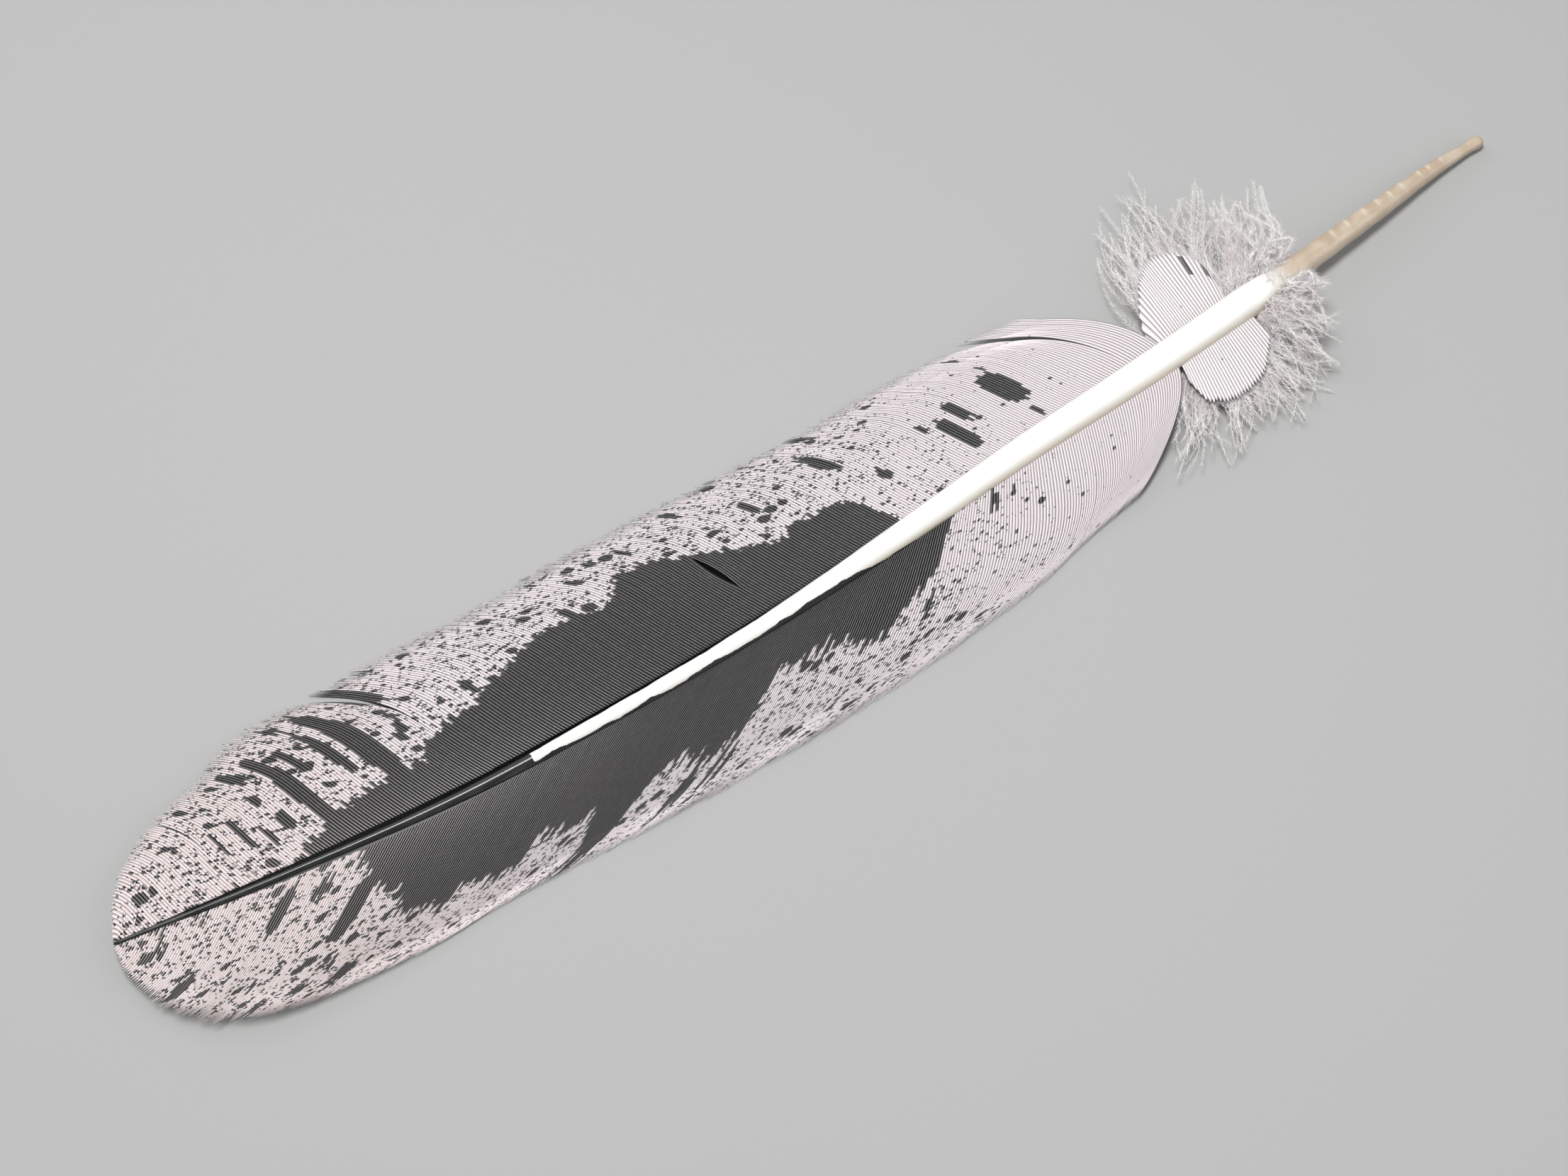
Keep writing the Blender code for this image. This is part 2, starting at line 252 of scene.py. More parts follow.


# %% [markdown]
# ## Finishes
# The feather is horn and paint. Horn is white and matt on the vanes, and glossy on the shaft.
# Each barb on a vane carries a pale ridge, and the furrow beside it is darkened with painted
# shade. The pink in the vanes' white is a painted reflection of red light. The black was laid on
# with a brush and a spatter: it takes whole barbs at a time, so its edges are ragged along the
# barbs and clean across them. The spatter therefore reads two values of each barb, its number and
# the run along it, and a mark is always a stretch of whole barbs. Each effect that several
# finishes share is a node group.

# %% Helpers for node trees
def add_node(tree, kind, settings=None, **inputs):
    """A node with its settings, and its inputs either set to a value or linked to a socket."""
    node = tree.nodes.new(kind)
    for key, value in (settings or {}).items():
        setattr(node, key, value)
    for key, value in inputs.items():
        slot = int(key[1:]) if key[0] == "i" and key[1:].isdigit() else key.replace("_", " ")
        socket = node.inputs[slot]
        if isinstance(value, bpy.types.NodeSocket):
            tree.links.new(value, socket)
        else:
            socket.default_value = value
    return node


def calculate(tree, operation, *inputs, clamp=False):
    """A Math node's result."""
    named = {f"i{number}": value for number, value in enumerate(inputs)}
    settings = {"operation": operation, "use_clamp": clamp}
    return add_node(tree, "ShaderNodeMath", settings, **named).outputs[0]


def blend_colours(tree, share, first, second):
    """A mix of two colours: share 0 is the first and share 1 the second."""
    settings = {"data_type": "RGBA", "clamp_factor": True}
    return add_node(tree, "ShaderNodeMix", settings, i0=share, i6=first, i7=second).outputs[2]


def step_up(tree, value, low, high):
    """Zero at low, one at high, and smooth between them."""
    settings = {"interpolation_type": "SMOOTHSTEP"}
    node = add_node(tree, "ShaderNodeMapRange", settings, Value=value, From_Min=low, From_Max=high)
    return node.outputs[0]


def value_of(tree, title):
    """The number that a piece's points carry under this title."""
    return add_node(tree, "ShaderNodeAttribute", {"attribute_name": title}).outputs["Fac"]


def new_group(name, takes, gives):
    """An empty node group with named number inputs (name: default) and outputs."""
    group = bpy.data.node_groups.new(name, "ShaderNodeTree")
    for title, default in takes.items():
        socket = group.interface.new_socket(title, in_out="INPUT", socket_type="NodeSocketFloat")
        socket.default_value = default
    for title in gives:
        group.interface.new_socket(title, in_out="OUTPUT", socket_type="NodeSocketFloat")
    ends = (group.nodes.new("NodeGroupInput"), group.nodes.new("NodeGroupOutput"))
    return group, ends[0].outputs, ends[1].inputs


def place_group(tree, group, **inputs):
    """A node that uses the group."""
    return add_node(tree, "ShaderNodeGroup", {"node_tree": group}, **inputs).outputs


def new_material(name, **constants):
    """A material, its node tree and its Principled shader with constant values set."""
    material = bpy.data.materials.new(name)
    material.use_nodes = True
    tree = material.node_tree
    shader = tree.nodes["Principled BSDF"]
    for key, value in constants.items():
        shader.inputs[key.replace("_", " ")].default_value = value
    return material, tree, shader


# %% [markdown]
# The spatter is three layers of cells, scattered over the plane of barb number and run. In each
# cell a mark may stand: its size is drawn at random, and where the density is low most draws fall
# below zero and leave the cell bare. The layers give a fine mist, dots, and blots.

# %% The spatter group
SPATTER = {
    # layer: barbs per cell, run of a cell in mm, least and greatest radius in cells
    "mist": (0.9, 0.46, -0.50, 0.62),
    "dots": (1.7, 0.92, -0.20, 0.58),
    "blots": (4.6, 2.5, -1.25, 0.62),
}
SPATTER_EDGE = 0.10
SPATTER_RARITY = 0.6

spatter, given, result = new_group(
    "spatter on barbs", {"Barb": 0.0, "Run": 0.0, "Density": 0.5}, ["Paint"]
)
tree = spatter
paint = 0.0
for number, (barbs, run, least, most) in enumerate(SPATTER.values()):
    place = add_node(
        tree, "ShaderNodeCombineXYZ",
        X=calculate(tree, "DIVIDE", given["Barb"], barbs),
        Y=calculate(tree, "DIVIDE", given["Run"], run),
        Z=7.3 * (number + 1),
    )
    flat = {"voronoi_dimensions": "2D"}
    cells = add_node(tree, "ShaderNodeTexVoronoi", flat, Vector=place.outputs[0], Scale=1.0)
    draw = add_node(tree, "ShaderNodeSeparateColor", Color=cells.outputs["Color"]).outputs[0]
    squared = calculate(tree, "MULTIPLY", draw, draw)
    size = calculate(tree, "MULTIPLY_ADD", squared, most - least, least)
    rarity = calculate(tree, "MULTIPLY_ADD", given["Density"], SPATTER_RARITY, -SPATTER_RARITY)
    size = calculate(tree, "ADD", size, rarity)
    gap = calculate(tree, "SUBTRACT", size, cells.outputs["Distance"])
    mark = step_up(tree, gap, -SPATTER_EDGE / 2, SPATTER_EDGE / 2)
    paint = calculate(tree, "MAXIMUM", mark, paint)
tree.links.new(paint, result["Paint"])
print("spatter group:", len(spatter.nodes), "nodes")

# %% The finish of the painted vanes
# Painted shade: the furrow colour is darker than the ridge's white. The pink in both is a painted
# reflection of red light.
BARB_WHITE = (0.82, 0.765, 0.775, 1.0)
BARB_FURROW_SHADE = (0.60, 0.545, 0.565, 1.0)
BARB_WARM = (0.68, 0.575, 0.545, 1.0)
PAINT_BLACK = (0.009, 0.010, 0.010, 1.0)
PAINT_WORN = (0.034, 0.034, 0.035, 1.0)
PAINT_RAGGED = 0.7
PAINT_EDGE = 0.14
BARBULE_STEP = 0.13
BARBULE_SLANT = 0.30


def painted_vane(name):
    """Horn with the painted areas and the spatter over it, ridge by ridge."""
    material, tree, shader = new_material(name, Sheen_Weight=0.04, Specular_IOR_Level=0.42)
    barb, run, ridge = (value_of(tree, title) for title in ("barb", "run", "ridge"))
    along = add_node(tree, "ShaderNodeCombineXYZ", X=barb, Y=run).outputs[0]
    patchy = add_node(
        tree, "ShaderNodeTexNoise", {"noise_dimensions": "2D"}, Vector=along, Scale=0.8, Detail=3.0
    ).outputs[0]
    edge = calculate(tree, "MULTIPLY_ADD", patchy, PAINT_RAGGED, -PAINT_RAGGED / 2)
    edge = calculate(tree, "ADD", value_of(tree, "ink"), edge)
    brushed = step_up(tree, edge, -PAINT_EDGE, PAINT_EDGE)
    place = calculate(tree, "MULTIPLY_ADD", value_of(tree, "across"), 0.6, barb)
    dots = place_group(tree, spatter, Barb=place, Run=run, Density=value_of(tree, "spatter"))
    paint = calculate(tree, "MAXIMUM", brushed, dots[0])
    # Paint thinned off the ridges, partly worn and partly a painted highlight along them
    ridge_wear_and_glint = calculate(tree, "MULTIPLY", calculate(tree, "POWER", ridge, 2.0), value_of(tree, "ridge_wear_and_glint"))
    paint = calculate(tree, "MULTIPLY", paint, calculate(tree, "SUBTRACT", 1.0, ridge_wear_and_glint), clamp=True)
    # Painted shade: the furrow beside each ridge is mixed darker than the ridge
    horn = blend_colours(tree, ridge, BARB_FURROW_SHADE, BARB_WHITE)
    warmth = calculate(tree, "MULTIPLY", value_of(tree, "warm"), step_up(tree, patchy, 0.2, 0.8))
    horn = blend_colours(tree, warmth, horn, BARB_WARM)
    black = blend_colours(tree, step_up(tree, patchy, 0.45, 0.8), PAINT_BLACK, PAINT_WORN)
    colour = blend_colours(tree, paint, horn, black)
    tree.links.new(colour, shader.inputs["Base Color"])
    gloss = calculate(tree, "MULTIPLY_ADD", ridge, -0.12, 0.56)
    tree.links.new(calculate(tree, "MULTIPLY_ADD", paint, -0.06, gloss), shader.inputs["Roughness"])
    slanted = calculate(tree, "MULTIPLY_ADD", value_of(tree, "across"), BARBULE_SLANT, run)
    hatch = calculate(tree, "SINE", calculate(tree, "MULTIPLY", slanted, math.tau / BARBULE_STEP))
    bump = add_node(tree, "ShaderNodeBump", Strength=0.25, Distance=0.00002, Height=hatch)
    tree.links.new(bump.outputs[0], shader.inputs["Normal"])
    return material


vane_finish = painted_vane("painted barbs")

# %% [markdown]
# ## The vanes
# A barb is a thin beam that leaves the shaft, runs outwards and bends towards the tip. Its
# small hooked branches zip it to the next barb, so seen from close by a vane is a row of ridges
# with furrows between them, and each barb ends in its own fine point at the edge. A flat sheet
# with a striped picture would miss all of that at the edge and in the splits. So each barb is a
# closed strip with five sides: its ridge, its flat upper side, its two edges and its keel. All
# barbs of a vane are one array: barb, station along the barb, and side.

# %% One barb's place on the feather
EDGE_HEIGHT = 0.3
DROOP_POWER = 1.7
FLAT_FROM = 0.85
RIPPLE = 0.35
LOBE_EDGE_HEIGHT = 4.2


def edge_height(x):
    """The edge rests on the floor in the middle, and lifts towards the tip and the base."""
    return EDGE_HEIGHT + 2.6 * ease_in(-x, 92.0, 58.0) + 3.0 * ease_in(x, 22.0, 45.0)


def wide_progress(t, root):
    """Share of the run along the shaft: 0.81 t less 0.45 t squared plus 0.64 t to the sixth."""
    body = 0.81 * t - 0.45 * t ** 2 + 0.64 * t ** 6
    base = ease_in(root, 48.0, 17.0)
    return body * (1 - base) + t * t * base


def narrow_progress(t, root):
    """A straight run and a late bend, whose share grows towards the base of the feather."""
    bend = 0.19 + 0.36 * ease_in(root, -20.0, 60.0)
    body = (1 - bend) * t + bend * t ** 6
    base = ease_in(root, 48.0, 17.0)
    return body * (1 - base) + t * t * base


def vane_surface(table, progress):
    """The vane as a function of a barb's root and the share t of its reach: the place across
    is t times the reach, and the height falls from the shaft's to the edge's as t to 1.7."""
    def surface(root, t):
        along = smooth_through(table[:, 0], table[:, 1], root)
        across = smooth_through(table[:, 0], table[:, 2], root)
        x = root + (along - root) * progress(t, root)
        droop = np.minimum(t / FLAT_FROM, 1.0) ** DROOP_POWER
        ripple = RIPPLE * t ** 3 * (1 + np.sin(root / 5.3 + 2 * np.sin(root / 19.0))) / 2
        z = shaft_height(x) * (1 - droop) + edge_height(x) * droop + ripple
        return np.stack([x, shaft_side(x) + across * t, z], axis=-1)
    return surface


def lobe_surface(table):
    """A firm lobe: straight barbs whose height falls as t squared."""
    def surface(root, t):
        along = smooth_through(table[:, 0], table[:, 1], root)
        across = smooth_through(table[:, 0], table[:, 2], root)
        x = root + (along - root) * t
        z = shaft_height(x) * (1 - t * t) + LOBE_EDGE_HEIGHT * t * t
        return np.stack([x, shaft_side(x) + across * t, z], axis=-1)
    return surface


# %% A row of barbs as one array
BARB_STEP = 0.575
# Around one barb: share of the step across it, and height in mm
BARB_SIDES = np.array([[-0.04, -0.03], [0.22, 0.15], [0.46, 0.03], [1.04, -0.02], [0.25, -0.20]])
BARB_RIDGE = np.array([0.0, 1.0, 0.3, 0.0, 0.4])
BARB_CHART = np.array([0.0, 0.24, 0.42, 0.84, 0.92, 1.0])
BARB_POINTS = 44
NEAR = 0.01
CHART_ROWS = 2


def stations_along(count):
    """Shares from 0 to 1, closer together towards the tip of the barb."""
    even = np.linspace(0.0, 1.0, count)
    return 0.75 * even + 0.25 * (1 - (1 - even) ** 2)


def parted(roots, t, partings):
    """How far the barbs move along the shaft where the vane has come unzipped. Each parting:
    root, gap, and where it begins and ends as shares of the reach. The push fades away from
    the gap, and it swells and closes again along the barbs unless it runs out at the edge."""
    shift = np.zeros_like(t)
    for root, gap, begin, end, fade in partings:
        away = roots[:, None] - root
        share = np.clip((t - begin) / (end - begin), 0.0, 1.0)
        swell = share ** 1.5 if end > 1 else np.sin(math.pi * share)
        shift += gap / 2 * np.sign(away) * np.exp(-np.abs(away) / fade) * swell
    return shift


def barb_row(surface, low, high, partings=(), relief=1.0, seed=0, wear=0.006):
    """The strips between two roots, whose heights are scaled by the relief. The result: points
    by barb, station and side, the roots, and the share t at each station."""
    draw = np.random.default_rng(seed)
    count = max(1, round((high - low) / BARB_STEP))
    step = (high - low) / count
    roots = low + step * np.arange(count)
    share = stations_along(BARB_POINTS)
    reach = 1.0 + wear * draw.standard_normal(count) - 2 * wear * (draw.random(count) < 0.06)
    start = 0.06
    t = start + (reach[:, None] - start) * share
    slim = np.clip((1 - share) / 0.07, 0.05, 1.0) ** 0.7
    moved = roots[:, None] + parted(roots + step / 2, t, partings)
    ridge = BARB_SIDES[1, 0]
    across = ridge + (BARB_SIDES[:, 0] - ridge) * slim[:, None]
    root = moved[:, :, None] + step * across
    level = np.broadcast_to(t[:, :, None], root.shape)
    points = surface(root, level)
    normal = np.cross(surface(root + NEAR, level) - points, surface(root, level + NEAR) - points)
    normal *= np.sign(normal[..., 2:]) / np.linalg.norm(normal, axis=-1, keepdims=True)
    uneven = 1.0 + 0.18 * draw.standard_normal((count, 1, 1))
    rise = 0.03 * draw.standard_normal((count, 1, 1)) * share[None, :, None]
    height = relief * (BARB_SIDES[:, 1] * slim[:, None] * uneven + rise)
    return points + normal * height[..., None], roots, t


def strip_faces(count, stations, sides, first=0):
    """Four-sided faces around and along each strip, and the two caps."""
    index = first + np.arange(count * stations * sides).reshape(count, stations, sides)
    turned = np.roll(index, -1, axis=2)
    around = [index[:, :-1], index[:, 1:], turned[:, 1:], turned[:, :-1]]
    walls = np.stack(around, axis=-1).reshape(-1, 4)
    caps = np.concatenate([index[:, 0], index[:, -1, ::-1]])
    return walls, caps


def strip_chart(count, stations, sides, marks):
    """A flat place for each face corner: strips stand side by side in two rows, so that a bake
    spends its pixels evenly along every barb."""
    per_row = math.ceil(count / CHART_ROWS)
    number = np.arange(count)
    left = (number % per_row) / per_row
    base = (number // per_row) / CHART_ROWS
    u = left[:, None] + marks[None, :] * (0.96 / per_row)
    v = base[:, None] + np.linspace(0.01, 0.97, stations)[None, :] / CHART_ROWS
    corner = np.zeros((count, stations - 1, sides, 4, 2))
    for place, (down, over) in enumerate(((0, 0), (1, 0), (1, 1), (0, 1))):
        corner[..., place, 0] = u[:, None, over:over + sides]
        corner[..., place, 1] = v[:, down:down + stations - 1, None]
    caps = np.zeros((2 * count, sides, 2))
    caps[..., 0] = np.tile(u[:, :sides], (2, 1))
    caps[..., 1] = np.repeat(v[:, [0, -1]].T.reshape(-1), sides).reshape(-1, sides)
    return [corner.reshape(-1, 4, 2), caps]


print(f"barbs stand {BARB_STEP} mm apart along the shaft")

# %% [markdown]
# ## What is painted where
# The black band, its fingers and the loose dabs are brush marks, and a brush drags paint along
# the barbs. So a mark is told by the barbs that it covers, as their roots on the shaft, and by
# how far from the shaft it begins and ends. Each point of a barb then carries its distance to
# the nearest mark, above zero inside, with a small random shift from barb to barb, and the
# finish draws the edge where that distance is zero.

# %% Brush marks
WIDE_BAND = np.array([
    [-119.0, 0.4], [-116.7, 2.0], [-114.5, 3.6], [-109.4, 5.6], [-103.2, 8.5],
    [-96.0, 9.8], [-90.4, 9.2], [-86.0, 12.0], [-81.6, 15.2], [-74.5, 15.7],
    [-67.7, 19.0], [-63.5, 19.9], [-56.4, 22.3], [-51.6, 22.8], [-47.2, 22.9],
    [-43.1, 20.3], [-37.3, 24.1], [-30.3, 25.1], [-24.5, 21.8], [-17.7, 15.9],
    [-13.4, 13.8], [-6.6, 14.3], [-2.1, 13.9], [2.4, 11.9], [3.4, 10.0], [4.1, 0.0],
])
NARROW_BAND = np.array([
    [-112.0, 0.4], [-107.7, 1.8], [-104.0, 4.0], [-99.2, 7.8], [-94.6, 10.0],
    [-90.0, 12.0], [-86.0, 14.1], [-81.6, 14.4], [-71.2, 14.7], [-67.9, 14.4],
    [-62.9, 14.2], [-62.4, 11.6], [-59.8, 11.7], [-52.0, 12.4], [-45.6, 13.7],
    [-43.5, 17.5], [-40.0, 18.3], [-37.5, 17.0], [-36.0, 11.9], [-29.1, 12.4],
    [-24.0, 13.2], [-20.4, 13.9], [-17.8, 13.7], [-17.2, 8.4], [-12.9, 9.0],
    [-7.9, 8.6], [0.8, 11.3], [4.0, 12.2], [7.2, 12.4], [8.0, 10.5], [11.0, 9.5],
    [13.4, 8.2], [13.9, 0.0],
])
# Loose marks: middle root, half the width in roots, and where it begins and ends across
WIDE_MARKS = np.array([
    [-92.5, 2.3, 8.0, 30.0], [-97.6, 1.1, 13.8, 26.7], [-107.4, 1.6, 5.0, 25.3],
    [-81.2, 1.8, 25.5, 33.5], [-73.7, 0.9, 31.8, 33.9], [-83.9, 0.8, 20.4, 23.0],
    [-85.0, 0.9, 17.6, 20.6], [-86.4, 0.9, 15.2, 17.8], [-97.8, 1.0, 27.5, 29.9],
    [-111.9, 1.3, 20.7, 24.0], [-120.5, 0.6, 6.8, 15.3], [-113.3, 1.1, 7.3, 12.3],
    [-114.1, 1.0, 14.8, 17.8], [-108.8, 0.7, 11.7, 17.3], [-117.5, 0.6, 5.5, 11.0],
    [-125.0, 0.5, 7.4, 13.3], [-103.2, 0.9, 17.6, 25.1], [46.7, 0.7, 24.9, 27.0],
    [44.0, 0.5, 19.5, 21.7], [41.4, 2.7, 9.1, 19.2], [31.6, 1.2, 11.5, 18.0],
    [27.2, 1.7, 5.9, 16.0], [23.9, 0.7, 14.6, 18.1], [15.0, 1.2, 29.0, 32.1],
    [7.3, 1.4, 19.5, 26.8], [11.4, 0.9, 10.8, 14.5], [40.2, 0.4, 4.0, 7.1],
    [-8.9, 1.0, 21.4, 25.3], [-15.5, 0.9, 29.9, 32.4], [-29.0, 0.7, 28.8, 31.6],
    [-39.4, 0.7, 28.2, 31.0], [-41.7, 0.5, 32.0, 33.5], [-47.4, 1.0, 21.2, 25.1],
    [-70.8, 0.9, 18.4, 22.0],
])
NARROW_MARKS = np.array([
    [23.1, 0.4, 3.2, 6.5], [24.2, 0.4, 3.7, 6.5], [27.5, 0.4, 4.2, 6.4],
    [13.6, 0.6, 11.5, 14.1], [-92.2, 2.6, 18.6, 20.3], [-100.1, 2.2, 18.9, 20.1],
    [-98.8, 1.6, 16.8, 18.2], [-103.6, 1.6, 15.5, 16.7], [-130.0, 1.5, 10.8, 13.3],
    [-140.4, 1.2, 2.7, 4.2], [-101.4, 2.2, 5.5, 13.9], [-118.0, 1.4, 2.2, 8.9],
    [-110.8, 1.6, 3.6, 6.2], [-18.8, 0.4, 13.5, 16.9], [-16.6, 0.4, 13.9, 17.3],
    [-24.2, 1.9, 14.8, 17.8], [-112.6, 0.9, 15.3, 16.3], [-105.9, 1.0, 19.7, 20.8],
])
LOBE_MARKS = np.array([[78.4, 0.3, 10.0, 17.0], [80.2, 0.3, 8.0, 13.5]])
NO_BAND = np.array([[-200.0, -9.0], [200.0, -9.0]])
FAR = -5.0
RAGGED_BAND, RAGGED_MARK = 0.75, 0.35
BASE_SPATTER, MIDDLE_SPATTER, TIP_SPATTER = 0.16, 0.28, 0.48


def paint_distance(roots, across, band, marks, seed):
    """Distance inside the paint along each barb: to the band's outer edge, or to both ends of
    a mark, whose half length shrinks towards its sides as the root of 1 less u to the fourth."""
    draw = np.random.default_rng(seed)
    shared = np.interp(roots, roots[::4], draw.standard_normal(len(roots[::4])))
    own = draw.standard_normal(len(roots))
    limit = np.interp(roots, band[:, 0], band[:, 1]) + RAGGED_BAND * (0.5 * shared + 0.8 * own)
    inside = limit[:, None] - across
    inside[np.interp(roots, band[:, 0], band[:, 1]) < 0.2] = FAR
    for middle_root, half, begin, end in marks:
        u = np.clip(np.abs(roots - middle_root) / half, 0.0, 1.3)
        length = (end - begin) / 2 * np.sqrt(np.clip(1 - u ** 4, 0.0, 1.0))
        length = np.where(u < 1, length + RAGGED_MARK * draw.standard_normal(len(roots)), FAR)
        centre = (begin + end) / 2 + RAGGED_MARK * draw.standard_normal(len(roots))
        inside = np.maximum(inside, length[:, None] - np.abs(across - centre[:, None]))
    return np.maximum(inside, FAR)


def spatter_density(x, across, edge_share):
    """Sparse at the base, and denser towards the tip."""
    towards_tip = ease_in(-x, -62.0, 75.0)
    density = BASE_SPATTER + MIDDLE_SPATTER * ease_in(-x, -45.0, 60.0) + TIP_SPATTER * towards_tip
    return density * (1 - 0.25 * ease_in(edge_share, 0.93, 0.07))


print(len(WIDE_MARKS) + len(NARROW_MARKS), "loose marks")

# %% Growing a vane
WIDE_PARTINGS = [
    (-24.3, 1.25, 0.26, 0.58, 2.2), (-127.6, 1.5, 0.45, 1.4, 1.6), (-71.5, 0.4, 0.86, 1.3, 0.8),
    (-116.2, 0.35, 0.85, 1.3, 0.8), (31.2, 0.25, 0.80, 1.2, 0.8), (-58.8, 0.2, 0.9, 1.2, 0.7),
]
NARROW_PARTINGS = [
    (44.0, 0.35, 0.08, 1.3, 0.9), (-38.0, 0.25, 0.5, 1.2, 0.8), (-84.0, 0.3, 0.88, 1.3, 0.9),
    (-2.0, 0.2, 0.85, 1.2, 0.8),
]


def grow_vane(name, rows, band, marks, material, seed, relief=1.0):
    """All rows of one vane as a single piece, with what its finish needs on every point."""
    points, walls, caps, values = [], [], [], {}
    numbers = 0
    for order, (surface, low, high, partings) in enumerate(rows):
        row, roots, t = barb_row(surface, low, high, partings, relief, seed + order)
        count, stations, sides = row.shape[:3]
        first = sum(len(part) for part in points)
        wall, cap = strip_faces(count, stations, sides, first)
        spine = row[:, :, 1]
        across = np.abs(spine[..., 1] - shaft_side(spine[..., 0]))
        run = np.linalg.norm(np.diff(spine, axis=1, prepend=spine[:, :1]), axis=2).cumsum(axis=1)
        x = spine[..., 0]
        near_shaft = np.exp(-across / 5.0)
        told = {
            "ink": paint_distance(roots, across, band, marks, seed + 50 + order),
            "spatter": spatter_density(x, across, t),
            # Ridge wear that is partly a painted highlight, strongest near the shaft towards the tip
            "ridge_wear_and_glint": 0.25 + 0.65 * near_shaft * ease_in(-x, 40.0, 60.0),
            "warm": ease_in(-x, 70.0, 60.0),
            "run": run,
            "barb": np.broadcast_to((numbers + np.arange(count))[:, None], run.shape),
        }
        told = {title: np.repeat(number[..., None], sides, axis=2) for title, number in told.items()}
        told["ridge"] = np.broadcast_to(1 - relief * (1 - BARB_RIDGE), told["run"].shape)
        told["across"] = np.broadcast_to(BARB_SIDES[:, 0], told["run"].shape)
        for title, number in told.items():
            values.setdefault(title, []).append(number.ravel())
        points.append(row.reshape(-1, 3))
        walls.append(wall)
        caps.append(cap)
        numbers += count
    chart_walls, chart_caps = strip_chart(numbers, BARB_POINTS, len(BARB_SIDES), BARB_CHART)
    order_of_caps = []
    begin = 0
    for cap in caps:
        half = len(cap) // 2
        own = np.arange(begin, begin + half)
        order_of_caps.append(np.concatenate([own, numbers + own]))
        begin += half
    chart_caps = chart_caps[np.concatenate(order_of_caps)]
    faces = [np.concatenate(walls), np.concatenate(caps)]
    values = {title: np.concatenate(parts) for title, parts in values.items()}
    chart = [chart_walls, chart_caps]
    return make_piece(name, np.concatenate(points), faces, material, values, chart)


grow_vane("wide_vane", [
    (vane_surface(WIDE_END, wide_progress), -149.7, -81.4, WIDE_PARTINGS),
    (vane_surface(WIDE_BODY, wide_progress), -81.4, 58.8, WIDE_PARTINGS),
    (vane_surface(WIDE_LOCK, wide_progress), 58.8, 65.4, ()),
], WIDE_BAND, WIDE_MARKS, vane_finish, seed=11)
grow_vane("narrow_vane", [
    (vane_surface(NARROW, narrow_progress), -149.7, 66.0, NARROW_PARTINGS),
], NARROW_BAND, NARROW_MARKS, vane_finish, seed=23)
# The lobes' barbs are firmer and lie flatter than the vanes'
LOBE_RELIEF = 0.45
grow_vane("wide_lobe", [
    (lobe_surface(WIDE_LOBE), 65.4, 82.2, ()),
], NO_BAND, LOBE_MARKS, vane_finish, seed=31, relief=LOBE_RELIEF)
grow_vane("narrow_lobe", [
    (lobe_surface(NARROW_LOBE), 66.6, 84.2, ()),
], NO_BAND, LOBE_MARKS[:0], vane_finish, seed=37, relief=LOBE_RELIEF)

# %% [markdown]
# ## The shaft
# The shaft is one tapered tube of horn, 300 mm long. Above the down it is white and solid, with
# a groove below; under the down it turns into the bare quill, which is hollow, beige and a
# little see-through, with pale rings where the growing feather stood still for a night. It
# could be a bevelled curve, but a curve has the same section everywhere. Here the radius is a
# function of the station and of the angle, so the groove, the swelling where the quill begins
# and the pinched knob at its end are part of one surface.

# %% The finish of the shaft
HORN_WHITE = (0.86, 0.845, 0.815, 1.0)
# Painted shade: the darker ivory that the shaft's flanks and underside take
HORN_FLANK_SHADE = (0.68, 0.62, 0.51, 1.0)
QUILL_BEIGE = (0.44, 0.34, 0.25, 1.0)
QUILL_PALE = (0.53, 0.44, 0.34, 1.0)
RING_PALE = (0.66, 0.59, 0.47, 1.0)
STREAK_SCALE = 900.0


def shaft_horn(name):
    """White horn with painted shade in ivory on its flanks, that turns beige at the quill, with black
    paint.
    """
    material, tree, shader = new_material(name, Coat_Weight=0.25, Coat_Roughness=0.2)
    shader.inputs["Subsurface Weight"].default_value = 0.15
    shader.inputs["Subsurface Radius"].default_value = (0.0015, 0.0012, 0.0008)
    shader.inputs["Subsurface Scale"].default_value = 1.0
    place = add_node(tree, "ShaderNodeTexCoord").outputs["Object"]
    drawn_out = add_node(tree, "ShaderNodeMapping", Vector=place)
    drawn_out.inputs["Scale"].default_value = (0.12, 1.0, 1.0)
    streaks = add_node(
        tree, "ShaderNodeTexNoise", Vector=drawn_out.outputs[0], Scale=STREAK_SCALE, Detail=4.0
    ).outputs[0]
    clouds = add_node(tree, "ShaderNodeTexNoise", Vector=place, Scale=160.0, Detail=5.0).outputs[0]
    # Painted shade: ivory on the flanks and underside, white on top
    colour = blend_colours(tree, value_of(tree, "flank_shade"), HORN_WHITE, HORN_FLANK_SHADE)
    quill = blend_colours(tree, step_up(tree, clouds, 0.38, 0.66), QUILL_BEIGE, QUILL_PALE)
    quill = blend_colours(tree, value_of(tree, "ring"), quill, RING_PALE)
    colour = blend_colours(tree, value_of(tree, "quill"), colour, quill)
    edge = calculate(tree, "MULTIPLY_ADD", clouds, 2.4, -1.2)
    edge = calculate(tree, "ADD", value_of(tree, "ink"), edge)
    paint = step_up(tree, edge, -0.08, 0.08)
    black = blend_colours(tree, step_up(tree, streaks, 0.4, 0.75), PAINT_BLACK, PAINT_WORN)
    tree.links.new(blend_colours(tree, paint, colour, black), shader.inputs["Base Color"])
    rough = calculate(tree, "MULTIPLY_ADD", streaks, 0.16, 0.26)
    tree.links.new(rough, shader.inputs["Roughness"])
    bump = add_node(tree, "ShaderNodeBump", Strength=0.2, Distance=0.00008, Height=streaks)
    tree.links.new(bump.outputs[0], shader.inputs["Normal"])
    return material


